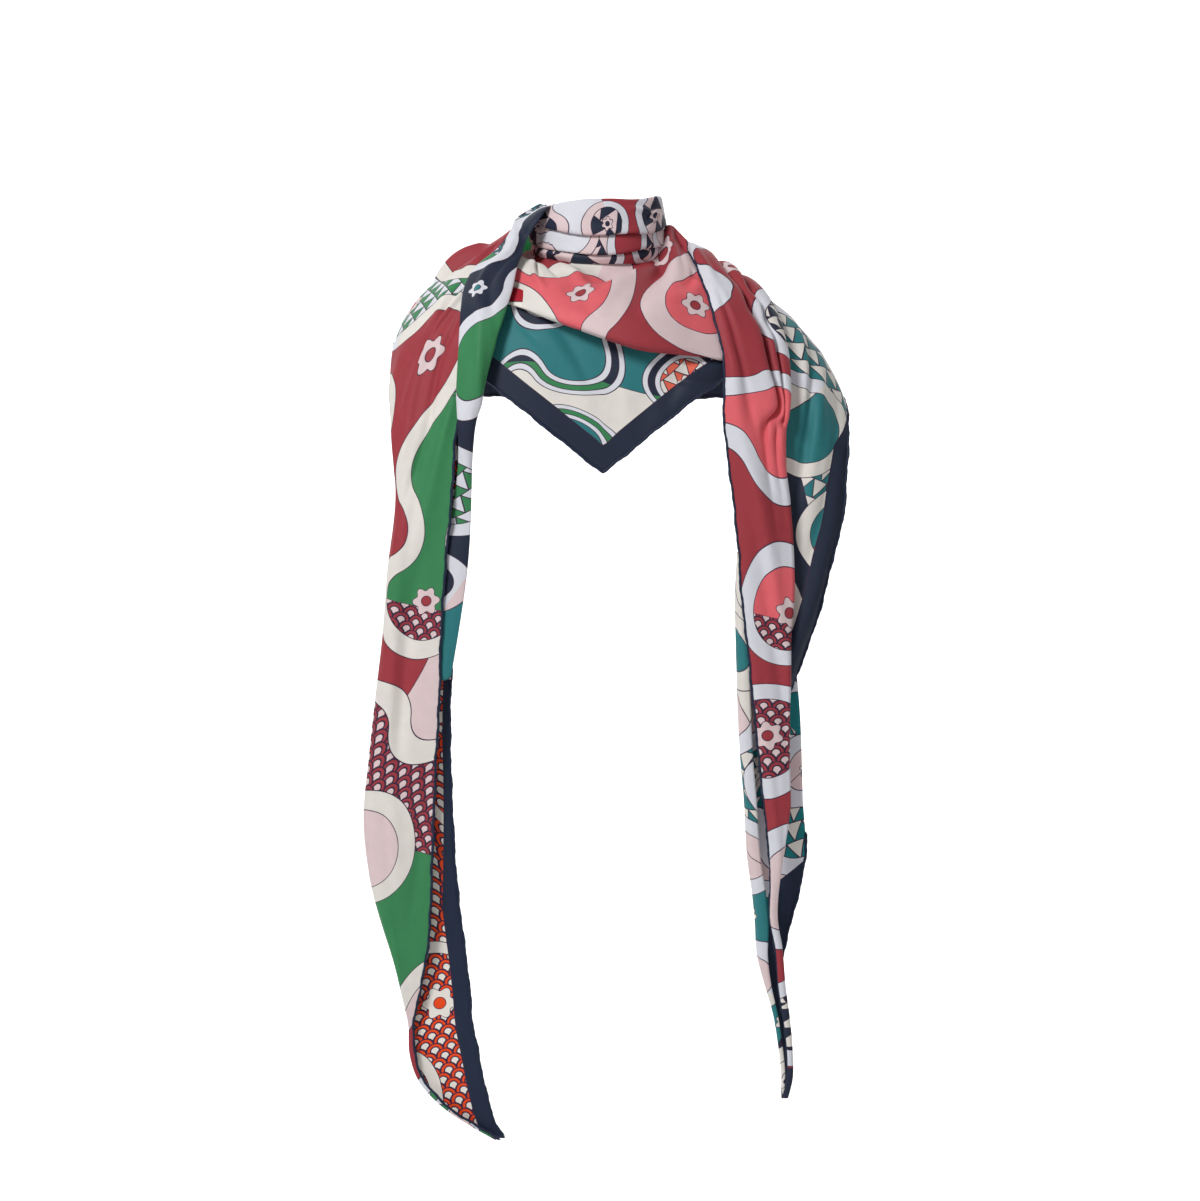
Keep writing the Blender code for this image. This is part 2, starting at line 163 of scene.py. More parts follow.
BIB_LEFT = table("top_x top_z edge_x edge_z", [
    (-98, -46, -110, -106),
    (-78, -40, -86, -125),
    (-52, -48, -58, -147),
    (-26, -56, -28, -171),
    (2, -66, 0, -193),
])
BIB_RIGHT = table("top_x top_z edge_x edge_z", [
    (2, -66, 0, -193),
    (28, -74, 27, -171),
    (54, -78, 54, -149),
    (80, -80, 82, -127),
    (104, -82, 114, -106),
])

LEFT_SHOULDER = table("angle inner outer edge", [
    (0, -61, -185, -176),
    (20, -65, -186, -174),
    (40, -75, -187, -168),
    (60, -94, -186, -160),
    (80, -111, -184, -148),
])
LEFT_TAIL = table("height outer_height inner outer edge", [
    (-124, -187, -120, -182, -134),
    (-160, -208, -127, -180, -122),
    (-215, -238, -131, -182, -119),
    (-270, -278, -136, -187, -121),
    (-330, -330, -140, -191, -129),
    (-392, -392, -142, -198, -133),
    (-443, -443, -145, -204, -133),
    (-495, -495, -147, -209, -131),
    (-546, -546, -149, -203, -128),
    (-592, -592, -151, -191, -123),
    (-623, -623, -155, -182, -119),
    (-652, -652, -161, -175, -116),
    (-675, -675, -165, -170, -114),
    (-700, -700, -164, -169, -109),
    (-722, -722, -157, -162, -105),
    (-744, -744, -138, -143, -100),
    (-762, -762, -112, -117, -94),
    (-775, -775, -89, -94, -86),
])

LEFT_STRAND = table("left_x left_z right_x right_z lift roll", [
    (-52, 36, -46, 34, -8, 1),
    (-58, 41, -46, 38, 2, 4),
    (-67, 36, -49, 36, 9, 6),
    (-76, 26, -56, 26, 11, 5),
    (-84, 12, -65, 11, 10, 5),
    (-92, 1, -69, 0, 10, 7),
    (-110, -14, -74, -14, 10.5, 9),
    (-120, -32, -78, -34, 10.5, 10),
    (-123, -52, -83, -51, 10, 10),
    (-124, -74, -90, -74, 9, 9),
    (-125, -98, -97, -98, 9, 9),
    (-126, -126, -104, -126, 9, 8),
    (-125, -152, -110, -152, 8, 5),
    (-125, -182, -113, -182, -1, 4),
    (-129, -215, -114, -215, -7, 2),
    (-138, -270, -117, -270, -5, 2),
    (-143, -325, -124, -325, -4.4, 2),
    (-147, -375, -132, -372, -4.2, 2),
])

RIGHT_FRONT_SHOULDER = table("angle hem valley outer", [
    (0, 72, 97, 139),
    (20, 77, 104, 151),
    (36, 83, 122, 158),
    (52, 91, 138, 162),
    (68, 99, 146, 163),
    (84, 105, 153, 160),
])
RIGHT_FRONT = table("height outer_height hem outer pleat", [
    (-134, -160, 104, 158, 0.6),
    (-165, -186, 106, 158, 0.3),
    (-205, -215, 111, 162, 0.1),
    (-262, -262, 117, 165, 0),
    (-304, -304, 120, 165, 0),
    (-334, -334, 124, 162, 0),
    (-392, -392, 130, 162, 0),
    (-440, -440, 135, 162, 0),
    (-478, -478, 139, 162, 0),
    (-515, -515, 143, 158, 0),
    (-550, -550, 145, 152, 0),
    (-581, -581, 145, 151, 0),
    (-605, -605, 150, 155, 0),
    (-640, -640, 153, 158, 0),
    (-668, -668, 157, 162, 0),
    (-700, -700, 160, 165, 0),
    (-720, -720, 160, 165, 0),
    (-737, -737, 157, 161, 0),
])
RIGHT_OUTER_SHOULDER = table("angle inner outer", [
    (0, 104, 213),
    (22, 112, 214),
    (45, 128, 214),
    (68, 140, 212),
])
RIGHT_OUTER = table("height outer_height inner outer sink", [
    (-140, -222, 142, 210, 0),
    (-180, -244, 142, 206, 0),
    (-220, -264, 142, 200, 0),
    (-260, -292, 142, 193, 0),
    (-300, -321, 142, 185, 1),
    (-340, -350, 140, 175, 3),
    (-370, -376, 138, 166, 5),
    (-398, -400, 136, 156, 6),
])
RIGHT_BACK = table("height inner outer", [
    (-262, 116, 150),
    (-304, 114, 158),
    (-350, 115, 166),
    (-398, 116, 171),
    (-440, 118, 173),
    (-475, 121, 174),
    (-530, 125, 176),
    (-556, 129, 171),
    (-584, 132, 164),
    (-613, 134, 157),
    (-640, 141, 155),
    (-666, 148, 159),
    (-690, 152, 162),
    (-715, 155, 164),
    (-738, 156, 160),
])

LEFT_WING = table("turn edge_x edge_z", [
    (232, -160, -128),
    (214, -124, -128),
    (195, -84, -130),
    (176, -42, -134),
    (161, -2, -122),
    (148, 28, -90),
    (135, 48, -50),
    (121, 58, -16),
])
RIGHT_WING = table("turn edge_x edge_z", [
    (122, 186, -150),
    (138, 148, -142),
    (155, 106, -130),
    (172, 66, -134),
    (187, 22, -132),
    (203, -18, -104),
    (214, -42, -64),
])
RIGHT_SINK = 9  # how far the right wing lies inside the left one
WING_SHARES = table("share lift", [
    (0.1, -5), (0.19, 0), (0.32, 1), (0.5, 0), (0.68, 1), (0.85, 0), (1, 0),
])
# Creases, in millimetres on the stretch they lie on: from one point to another across the cloth (u)
# and along it (v), how far the middle bows aside, the half width, and the height (below 0: a trough).
CREASE = "u0 v0 u1 v1 bow width height"

# Round the neck, v = 0 is the front and grows to the right; u is measured down from the top.
NECK_CREASES = table(CREASE, [
    (20, 24, 30, 72, 3, 2.4, 2.4),
    (16, 64, 36, 42, -2, 2, -2.4),
    (44, 34, 54, 78, 3, 2.6, 2.4),
    (38, 84, 62, 58, 2, 2.2, -2.4),
    (28, -14, 36, 34, -2, 2.4, -1.4),
    (48, -46, 60, -4, 3, 2.6, 1.8),
    (14, -64, 42, -84, 3, 2.8, 2.6),
    (30, -56, 66, -80, -3, 2.6, -2.4),
    (22, 120, 46, 150, 4, 3, 2),
    (32, -140, 54, -110, 4, 3, 2),
])
# On the cowl, u is measured down from the neck and v from the left.
COWL_CREASES = table(CREASE, [
    (2, 176, 78, 92, -12, 10, 6),
    (8, 190, 86, 124, -8, 8, -5.5),
    (0, 208, 92, 158, -4, 10, 3.5),
    (10, 226, 90, 198, 5, 9, -2),
    (6, 150, 62, 64, -12, 10, -4.5),
    (2, 34, 60, 96, 14, 9, 4.2),
    (12, 22, 40, 60, 6, 5, -4.5),
    (34, 12, 54, 36, 3, 3.5, -4),
    (46, 10, 64, 46, 3, 5, 4),
    (72, 146, 94, 206, 6, 6, 2.6),
    (56, 172, 88, 226, -5, 5, -2.6),
    (8, 92, 32, 132, 4, 7, -2.4),
])
BIB_CREASES = table(CREASE, [
    (16, 40, 92, 120, 8, 12, 2.2),
    (22, 232, 104, 150, -8, 12, 2.4),
    (8, 60, 60, 108, 6, 7, -2.2),
    (6, 214, 70, 176, -6, 7, -2),
    (30, 138, 96, 143, 2, 9, 1.2),
    (10, 168, 22, 236, -8, 5, 3.4),
    (20, 160, 34, 232, -8, 4, -2.6),
    (24, 20, 44, 66, 4, 5, 1.6),
])
# On the tails, u is measured from the long edge's hem and v down from the shoulder's top line.
LEFT_CREASES = table(CREASE, [
    (54, 2, 114, 8, 0, 8, 10),
    (2, -4, 60, 8, -3, 8, -4),
    (52, 26, 104, 24, -3, 6, -8),
    (20, 22, 74, 50, 4, 5, 3),
    (6, 16, 60, 66, -5, 6, -3.4),
    (20, 26, 80, 120, 8, 8, 4.2),
    (60, 52, 92, 190, -8, 7, -3.8),
    (92, 40, 78, 250, 6, 9, 3.4),
    (30, 90, 50, 330, -6, 7, -3.2),
    (12, 150, 34, 400, 4, 9, 2.8),
    (56, 240, 40, 520, 5, 8, 2.8),
    (22, 360, 34, 600, -4, 6, -2.6),
    (44, 450, 24, 690, -4, 7, 2.4),
    (8, 540, 18, 700, 2, 5, -1.8),
    (10, -60, 90, -30, 9, 10, 4),
    (40, -120, 120, -60, -10, 9, -3.6),
    (16, -190, 96, -90, 12, 11, 4.2),
    (20, -260, 128, -170, -10, 10, -3.6),
    (50, -300, 150, -220, 10, 12, 3.6),
    (120, -40, 140, -150, 8, 9, 3),
])
STRAND_CREASES = table(CREASE, [
    (10, 4, 34, 120, 5, 4, 2.2),
    (24, 10, 48, 190, 5, 5, -2.4),
    (20, 70, 26, 240, -4, 4, 2),
    (36, 120, 30, 290, 3, 4, 1.8),
])
RIGHT_CREASES = table(CREASE, [
    (6, 6, 24, 130, 4, 5, 3),
    (14, 40, 34, 250, 5, 5, -2.8),
    (8, 150, 22, 360, -3, 7, 2.6),
    (26, 200, 36, 470, 4, 7, 3),
    (16, 310, 26, 560, -4, 6, -2.6),
    (8, 460, 14, 690, 2, 4, 1.8),
    (20, -50, 90, -20, 8, 9, 3.6),
    (10, -120, 80, -60, -8, 9, -3.2),
    (20, -200, 90, -120, 9, 10, 3.6),
])
# On the right tail's side, u is measured from the short edge.
SIDE_CREASES = table(CREASE, [
    (96, 10, 66, 150, 7, 7, 4),
    (80, 30, 52, 210, 5, 6, -4),
    (50, 16, 40, 180, -6, 8, 3.6),
    (28, 50, 26, 260, 4, 7, -3),
    (58, 120, 34, 320, -4, 6, 3),
    (10, 130, 16, 330, 3, 6, 2.4),
    (30, -60, 70, -10, 7, 9, 3.4),
    (40, -160, 80, -60, -9, 10, 3.4),
])
INNER_CREASES = table(CREASE, [
    (24, 90, 32, 330, 4, 8, 2.6),
    (44, 200, 34, 460, -4, 7, -2.4),
    (16, 380, 30, 640, 4, 7, 2.2),
])


# --- Shape ---

def column(rows, name):
    """Return one named column of a table as an array."""
    return np.array([getattr(row, name) for row in rows], float)


def joined(parts):
    """Join arrays that share their end rows, without repeating those rows."""
    return np.concatenate([parts[0]] + [part[1:] for part in parts[1:]])


def travelled(points):
    """Return each point's distance along a line of points."""
    return np.concatenate(([0], np.cumsum(norm(np.diff(points, axis=0), axis=1))))


def curve_through(points, counts):
    """Return points on a smooth curve through the nodes, counts[k] steps in the kth interval."""
    points = np.asarray(points, float)
    spans = np.maximum(norm(np.diff(points, axis=0), axis=1), 1e-6)
    slopes = np.gradient(points, np.concatenate(([0], np.cumsum(spans))), axis=0)
    made = []
    for k, count in enumerate(counts):
        t = np.linspace(0, 1, count + 1)[:, None]
        made.append(points[k] * (1 + 2 * t) * (1 - t) ** 2 + points[k + 1] * t * t * (3 - 2 * t)
                    + slopes[k] * spans[k] * t * (1 - t) ** 2
                    - slopes[k + 1] * spans[k] * t * t * (1 - t))
    return joined(made)


def evenly(points, count):
    """Return count points, evenly spaced by length, along a line of points."""
    points = np.asarray(points, float)
    along = travelled(points)
    places = np.linspace(0, along[-1], count)
    return np.stack([np.interp(places, along, values) for values in points.T], axis=1)


def smooth_curve(points, count):
    """Return count points, evenly spaced by length, on a smooth curve through the nodes."""
    return evenly(curve_through(points, [CURVE_STEPS] * (len(points) - 1)), count)


def row_steps(net):
    """Return how many grid steps each interval between the net's rows takes."""
    spacing = norm(np.diff(np.asarray(net, float), axis=0), axis=2).mean(axis=1)
    return [max(2, round(gap / STEP)) for gap in spacing]


def surface(net, spans, steps=None):
    """Return a fine grid through a net of nodes; a span (last node, count) ends at a fold."""
    net = np.asarray(net, float)
    rows = curve_through(net.reshape(len(net), -1), steps or row_steps(net))
    rows = rows.reshape(-1, net.shape[1], 3)
    grid = []
    for nodes in rows:
        line = []
        first = 0
        for last, count in spans:
            line.append(smooth_curve(nodes[first:last + 1], count + 1))
            first = last
        grid.append(joined(line))
    return np.array(grid)


def blend(first, second, share):
    """Return the value that lies a share of the way from the first to the second."""
    return first + (second - first) * share


def rise_to_one(value, start, span):
    """Return 0 up to the start, then a share that grows to 1 over the span."""
    return np.clip((value - start) / span, 0, 1)


def side_of(x):
    """Return the name of the side where x lies."""
    return "left" if x < 0 else "right"


def reach(x, height):
    """Return the half width of the figure at a height, on the side where x lies."""
    return np.interp(height, column(FIGURE, "height"), column(FIGURE, side_of(x)))


def ridge(x):
    """Return the height of the shoulder's top line above x."""
    return np.interp(abs(x), column(FIGURE, side_of(x))[::-1], column(FIGURE, "height")[::-1])


def worn(x, height, lift, side="front"):
    """Return a point on the figure, lifted off it, on its front or its back."""
    depth = np.interp(height, column(FIGURE, "height"), column(FIGURE, side)) + lift
    share = min(abs(x) / reach(x, height), 1)
    y = depth * (1 - share ** ROUNDNESS) ** (1 / ROUNDNESS)
    return np.array([x, -y if side == "front" else y, height])


def hung(start, end, share, lift, side="front"):
    """Return a point on the figure, a share of the way from one (x, height) to another."""
    return worn(blend(start[0], end[0], share), blend(start[1], end[1], share), lift, side)


def neck_setback(x):
    """Return how far behind the shoulder's middle its top line lies, close to the neck."""
    return 34 * rise_to_one(-abs(x), -80, 30)


def over(x, angle, lift):
    """Return a point on the shoulder above x; the angle is 0 on its top line, 90 in front."""
    lean = radians(angle)
    height = ridge(x) - SHOULDER_DROP * (1 - cos(lean))
    point = worn(x, height, lift, "front" if angle >= 0 else "back")
    point[1] += neck_setback(x) * (cos(lean) if angle > 0 else max(0, 1 + angle / 22))
    point[2] += lift * cos(lean)
    return point


def around_neck(turn, height, out):
    """Return a point round the neck; the turn is 0 in front and 90 on the right side."""
    angle = radians(turn)
    x = NECK_CENTRE + (NECK_HALF_WIDTH + out) * sin(angle)
    y = -(NECK_HALF_DEPTH + out) * cos(angle)
    return np.array([x, y, height])


def fold_height(fold, turn):
    """Return how high a fold of the neck wrap lies at a turn round the neck."""
    ahead = cos(radians(turn))
    middle = fold.front if ahead > 0 else fold.back
    flank = fold.right if sin(radians(turn)) > 0 else fold.left
    return blend(flank, middle, ahead ** 2)


def under_wrap(turn, out, rise=0):
    """Return a point just under the neck wrap's lower edge, or raised outside it."""
    return around_neck(turn, fold_height(NECK_FOLDS[-1], turn) - WRAP_SEAM + rise, out)


# --- Nets of section nodes ---

def neck_grid():
    """Return the neck wrap's sections all round: soft rolls with sharp tucks between them."""
    ring = []
    for turn in np.arange(-180, 180, NECK_TURN):
        phase = radians(turn)
        section = []
        for place, fold in enumerate(NECK_FOLDS):
            # The folds wander and pinch a little on their way round.
            wander = 1.3 * sin(2 * phase + 1.2 * place) + 0.8 * sin(5 * phase + 2 * place)
            pinch = 0.9 * sin(3 * phase + 1.7 * place)
            corner = exp(-((turn - CORNER_TURN) / CORNER_SPREAD) ** 2) if place < 2 else 0
            height = fold_height(fold, turn) + (wander if 1 < place < 7 else 0.3 * wander)
            height += CORNER_RISE * corner
            if place in NECK_TUCKS:
                depth = 1 + 0.3 * sin(2 * phase + 2.6 * place)
                for rise, out in TUCK:
                    out = TUCK_MIDDLE + (out - TUCK_MIDDLE) * depth + pinch
                    section.append(around_neck(turn, height + rise, out))
            else:
                out = fold.out + 0.5 * pinch + CORNER_OUT * corner
                section.append(around_neck(turn, height, out))
        ring.append(smooth_curve(section, NECK_POINTS))
    return np.array(ring)


def cowl_net():
    """Return the cowl's runs: from behind the neck wrap to the lip and tucked up behind it."""
    net = []
    for row in COWL:
        top = under_wrap(row.turn, row.out, row.rise)
        hidden = under_wrap(row.turn, row.out - 5, 7) if row.rise < 5 else top - (2.5, -1.5, 1.5)
        start, lip = (top[0], top[2]), (row.lip_x, row.lip_z)
        run = [hidden, top]
        run += [hung(start, lip, share, base + row.belly * swell)
                for share, base, swell in ((0.12, -6, 0), (0.27, 1, 0.4), (0.52, 3, 0.8),
                                           (0.8, 3, 1.05), (0.95, 3, 1.0))]
        run.append(worn(row.lip_x, row.lip_z, 3 + row.belly * 0.6))
        run.append(worn(row.lip_x, row.lip_z + COWL_TUCK * 0.5, 2.5 + row.belly * 0.25))
        run.append(worn(row.lip_x, row.lip_z + COWL_TUCK, 2.2 + min(row.belly, 0)))
        net.append(run)
    return net


def bib_net(rows):
    """Return one half of the bib, each run from under the cowl down to the short edge."""
    net = []
    for row in rows:
        under = -5.4 * rise_to_one(-row.edge_x, 60, 40)
        net.append([hung((row.top_x, row.top_z), (row.edge_x, row.edge_z), share, under)
                    for share in (0, 0.33, 0.67, 1)])
    return net


def book_section(front, back):
    """Return a folded section: the front layer to the silhouette, then the back layer."""
    return [front(0), front(0.3), front(0.65), front(0.92), blend(front(1), back(0), 0.5),
            back(0.1), back(0.4), back(0.7), back(1)]


def left_tail_net():
    """Return the left tail's sections, from the shoulder's top line down to the tip."""
    net = []
    for row in LEFT_SHOULDER:
        net.append(book_section(
            lambda share: over(blend(row.inner, row.outer, share), row.angle, 0),
            lambda share: over(blend(row.outer, row.edge, share), row.angle, -8)))
    for row in LEFT_TAIL:
        gap = min(12, 4 + abs(row.outer - row.inner) * 0.4)
        spine = (row.outer, row.outer_height)
        net.append(book_section(
            lambda share: hung((row.inner, row.height), spine, share, gap / 2 - 6),
            lambda share: hung(spine, (row.edge, row.height), share, -gap / 2 - 6)))
    return net


def strand_net():
    """Return the rolled strand's sections: an open roll, rounded towards the front."""
    return [[hung((row.left_x, row.left_z), (row.right_x, row.right_z), share,
                  row.lift + row.roll * rise)
             for share, rise in ((0.12, -0.5), (0, 0.1), (0.22, 0.8), (0.5, 1.0), (0.78, 0.8),
                                 (1, 0.1), (0.88, -0.5))]
            for row in LEFT_STRAND]


def right_front_net():
    """Return the right tail's front stretch: a valley, then a pleat with a second, smaller one."""
    net = []
    for row in RIGHT_FRONT_SHOULDER:
        settled = 10 * cos(radians(row.angle)) ** 2
        places = [(blend(row.hem, row.valley, share), lift)
                  for share, lift in ((0, 8), (0.1, 11.5), (0.5, 14.5), (0.94, 14), (0.86, 1))]
        places += [(blend(row.valley, row.outer, share), lift)
                   for share, lift in ((0.16, 11), (0.4, 14), (0.34, 2), (0.6, 12), (0.9, 14.5),
                                       (1, 8), (0.72, 4))]
        net.append([over(x, row.angle, lift - settled) for x, lift in places])
    for row in RIGHT_FRONT:
        deep = row.pleat
        turn = 2 + 2 * min(abs(row.outer - row.hem) / 20, 1)
        net.append([
            hung((row.hem, row.height), (row.outer, row.outer_height), share, lift)
            for share, lift in (
                (0, 8), (0.1, 10), (0.36, 11), (0.6, 11 + deep), (0.68, 11 - 9 * deep),
                (0.74, 10.8), (0.8, 10.6 + deep), (0.85, 10.4 - 4 * deep),
                (0.9, 10.2 + 2 * deep), (0.96, 10 + 2 * deep), (1, 9 - turn),
                (0.9, 8 - 1.5 * turn))])
    return net


def right_outer_net():
    """Return the right tail's outer stretch: a broad round panel with the short edge."""
    shoulder = [[over(blend(row.inner, row.outer, share), row.angle, lift)
                 for share, lift in ((0, -5), (0.25, -5), (0.4, -1), (0.7, 4), (0.88, 3), (1, -2))]
                for row in RIGHT_OUTER_SHOULDER]
    return shoulder + [
        [hung((row.inner, row.height), (row.outer, row.outer_height), share,
              lift - row.sink * share)
         for share, lift in ((0, -5), (0.25, -5), (0.45, -3), (0.7, 2), (0.9, 0), (1, -4))]
        for row in RIGHT_OUTER]


def right_back_net():
    """Return the right tail's back stretch, folded over at its left side."""
    net = []
    for row in RIGHT_BACK:
        width = row.outer - row.inner
        turned = min(12, width * 0.4)
        net.append([worn(row.inner + aside, row.height, lift)
                    for aside, lift in ((turned, 5.5), (turned * 0.4, 5), (0, -3),
                                        (turned * 0.4, -11), (width * 0.6, -12), (width, -11))])
    return net


def wing_rows(seam, rows, sink, first=0, last=1):
    """Return a wing's rows behind, from the crossing at the neck's back to the shoulder.

    seam is the section on the shoulder's top line; first and last cut a share of each row.
    """
    net = []
    for row in reversed(rows):
        top = under_wrap(row.turn, 9 - sink)
        hidden = [under_wrap(row.turn, 5 - sink, 7)] if first == 0 else []
        run = smooth_curve(hidden + [top] + [
            hung((top[0], top[2]), (row.edge_x, row.edge_z), share, lift - sink, "back")
            for share, lift in WING_SHARES], WING_STEPS + 1)
        kept = run[round(first * WING_STEPS):round(last * WING_STEPS) + 1]
        net.append(evenly(kept, len(seam)))
    for angle in (-48, -22):
        net.append([over(x, angle, height - ridge(x) + sink * angle / 60) for x, _, height in seam])
    return net


def winged(wing, tail, spans):
    """Return the grid of a wing and the tail it turns into, its row steps and its seam's row."""
    steps = row_steps(wing + tail)
    return surface(wing + tail, spans, steps), steps, sum(steps[:len(wing)])


# --- Flat coordinates ---

def lengths(grid, axis):
    """Return each point's distance along the grid's rows or columns, from the first one."""
    steps = norm(np.diff(grid, axis=axis), axis=2)
    lead = np.zeros(grid.shape[:1] + (1,)) if axis == 1 else np.zeros((1, grid.shape[1]))
    return np.concatenate((lead, np.cumsum(steps, axis=axis)), axis=axis)


def down_column(grid, place, start=0):
    """Return every row's distance from the start row along one column, for each point."""
    along = lengths(grid, 0)[:, place]
    return np.repeat((along - along[start])[:, None], grid.shape[1], axis=1)


def unit(vectors):
    """Return the vectors with length 1."""
    return vectors / np.maximum(norm(vectors, axis=-1, keepdims=True), 1e-9)


def marched(solid):
    """Return a first flat place for each point: straight rows, each laid on from the one before."""
    across = lengths(solid, 1)
    middles = across - across.mean(axis=1, keepdims=True)
    place, angle = np.zeros(2), 0.0
    flat = []
    for k, offsets in enumerate(middles):
        if k:
            ahead = unit(np.gradient(solid[k - 1], axis=0))
            step = solid[k] - solid[k - 1]
            slide = np.sum(step * ahead, axis=1)
            advance = np.sqrt(np.maximum(np.sum(step * step, axis=1) - slide ** 2, 0))
            slope = (np.sum((advance - advance.mean()) * middles[k - 1])
                     / np.sum(middles[k - 1] ** 2 + ROW_STIFFNESS ** 2))
            along = np.array((cos(angle), sin(angle)))
            place = place + along * slide.mean() + np.array((-along[1], along[0])) * advance.mean()
            angle += slope
        flat.append(place + offsets[:, None] * (cos(angle), sin(angle)))
    return np.array(flat)


def relaxed(flat, solid, rounds):
    """Move flat points until the distances between neighbours match those on the solid grid."""
    near, far, whole = slice(None, -1), slice(1, None), slice(None)
    links = [((whole, near), (whole, far)), ((near, whole), (far, whole)),
             ((near, near), (far, far)), ((near, far), (far, near))]
    goals = [norm(solid[b] - solid[a], axis=2) for a, b in links]
    for _ in range(rounds):
        move = np.zeros_like(flat)
        count = np.zeros(flat.shape[:2] + (1,))
        for (a, b), goal in zip(links, goals):
            gap = flat[b] - flat[a]
            length = np.maximum(norm(gap, axis=2), 1e-6)
            pull = gap * ((length - goal) / length / 2)[..., None]
            move[a] += pull
            move[b] -= pull
            count[a] += 1
            count[b] += 1
        flat = flat + OVERSHOOT * move / count
    return flat


def filled_in(values, places, count):
    """Return flat places for all the rows, worked out from those at the places."""
    return np.stack([[np.interp(np.arange(count), places, line) for line in values[..., axis].T]
                     for axis in range(2)], axis=2).transpose(1, 0, 2)


def flattened(grid, kept=None):
    """Return each point's place on the flat cloth, with its lengths kept as well as they can be.

    Columns from kept on are a tuck, which is laid straight on from the columns before it.
    """
    seen = grid[:, :kept]
    rows, columns = seen.shape[:2]
    pick_rows = np.unique(np.append(np.arange(0, rows, COARSE), rows - 1))
    pick_columns = np.unique(np.append(np.arange(0, columns, COARSE), columns - 1))
    coarse = seen[np.ix_(pick_rows, pick_columns)]
    flat = relaxed(marched(coarse), coarse, COARSE_ROUNDS).transpose(1, 0, 2)
    wide = filled_in(flat, pick_columns, columns).transpose(1, 0, 2)
    full = relaxed(filled_in(wide, pick_rows, rows), seen, FINE_ROUNDS)
    ahead = unit(full[:, -1:] - full[:, -9:-8])
    across = lengths(grid, 1)
    rest = across[:, columns:] - across[:, columns - 1:columns]
    return np.concatenate((full, full[:, -1:] + ahead * rest[..., None]), axis=1)


def turned(flat, degrees, start=(0, 0)):
    """Return flat places turned about the first point and moved to another start."""
    angle = radians(degrees)
    x, y = (flat[..., 0] - flat[0, 0, 0]), (flat[..., 1] - flat[0, 0, 1])
    return np.stack((x * cos(angle) - y * sin(angle) + start[0],
                     x * sin(angle) + y * cos(angle) + start[1]), axis=2)


def off_edge(flat, edge):
    """Return each point's distance from a line of points on the flat cloth."""
    away = np.full(flat.shape[:2], FAR)
    for first in range(0, len(edge), EDGE_CHUNK):
        gaps = norm(flat[:, :, None] - edge[first:first + EDGE_CHUNK + 1], axis=3)
        away = np.minimum(away, gaps.min(axis=2))
    return away


# --- Cloth ---

def added(name, data):
    """Add an object to the scene."""
    thing = bpy.data.objects.new(name, data)
    bpy.context.scene.collection.objects.link(thing)
    return thing


def smooth_piece(name, points, faces, looks):
    """Add a smooth mesh of these points, in metres, and faces."""
    mesh = bpy.data.meshes.new(name)
    mesh.from_pydata(np.reshape(points, (-1, 3)).tolist(), [], faces)
    mesh.shade_smooth()
    for look in looks:
        mesh.materials.append(look)
    return added(name, mesh)


def quads(index):
    """Return the four-cornered faces between a grid of point numbers."""
    corners = index[:-1, :-1], index[:-1, 1:], index[1:, 1:], index[1:, :-1]
    return np.stack(corners, axis=2).reshape(-1, 4)


def outward(grid):
    """Return the unit normal at each point of a grid, away from the wearer, and its sign."""
    cross = unit(np.cross(np.gradient(grid, axis=1), np.gradient(grid, axis=0)))
    away = grid - (NECK_CENTRE, 0, 0)
    away[..., 2] = 0
    sign = 1 if np.sum(cross * away) > 0 else -1
    return cross * sign, sign


def creased(grid, across, along, creases, ripple=0.45):
    """Move a grid along its normals by its creases and a faint, slow ripple."""
    height = ripple * (np.sin(across / 17 + along / 61) * np.sin(along / 43 - across / 29)
                       + 0.6 * np.sin(across / 9 - along / 37 + 1.3))
    for crease in creases:
        start = np.array((crease.u0, crease.v0), float)
        run = np.array((crease.u1, crease.v1), float) - start
        length = np.hypot(*run)
        run /= length
        du, dv = across - start[0], along - start[1]
        place = (du * run[0] + dv * run[1]) / length
        aside = dv * run[0] - du * run[1] - crease.bow * 4 * place * (1 - place)
        fade = np.sin(pi * np.clip(place, 0, 1)) ** 0.7
        height = height + crease.height * fade * np.exp(-(aside / crease.width) ** 2)
    return grid + outward(grid)[0] * height[..., None]


def cloth(name, grid, flat, looks, edge=None, ring_turn=None, wrong_side=False):
    """Make one stretch of cloth: a thin shell with its flat coordinates and its print.

    flat is each point's place on the cut and edge its distance from the short edge. A ring's last
    faces close it, and ring_turn is how far the flat place moves in one turn.
    """
    rows, columns = grid.shape[:2]
    index = np.arange(rows * columns).reshape(rows, columns)
    faces = quads(np.concatenate((index, index[:1])) if ring_turn else index)
    kept_way = (outward(grid)[1] < 0) == wrong_side
    faces = faces[:, (0, 3, 2, 1) if kept_way else (1, 2, 3, 0)]
    piece = smooth_piece(name, grid * MM, faces.tolist(), looks)
    mesh = piece.data
    corners = np.zeros(len(mesh.loops), dtype=np.int32)
    mesh.loops.foreach_get("vertex_index", corners)
    laid = (flat.reshape(-1, 2) * MM)[corners]
    if ring_turn:
        closing = np.arange(len(corners)) >= (rows - 1) * (columns - 1) * 4
        laid[closing & (corners < columns)] += np.array(ring_turn) * MM
    mesh.uv_layers.new(name="flat").data.foreach_set("uv", laid.astype(np.float32).ravel())
    edge = np.full(grid.shape[:2], FAR) if edge is None else edge
    attribute = mesh.attributes.new("edge", "FLOAT", "POINT")
    attribute.data.foreach_set("value", (edge.reshape(-1) * MM).astype(np.float32))
    shell = piece.modifiers.new("shell", "SOLIDIFY")
    shell.thickness = SHELL * MM
    shell.offset = 0
    shell.material_offset = 1
    return piece


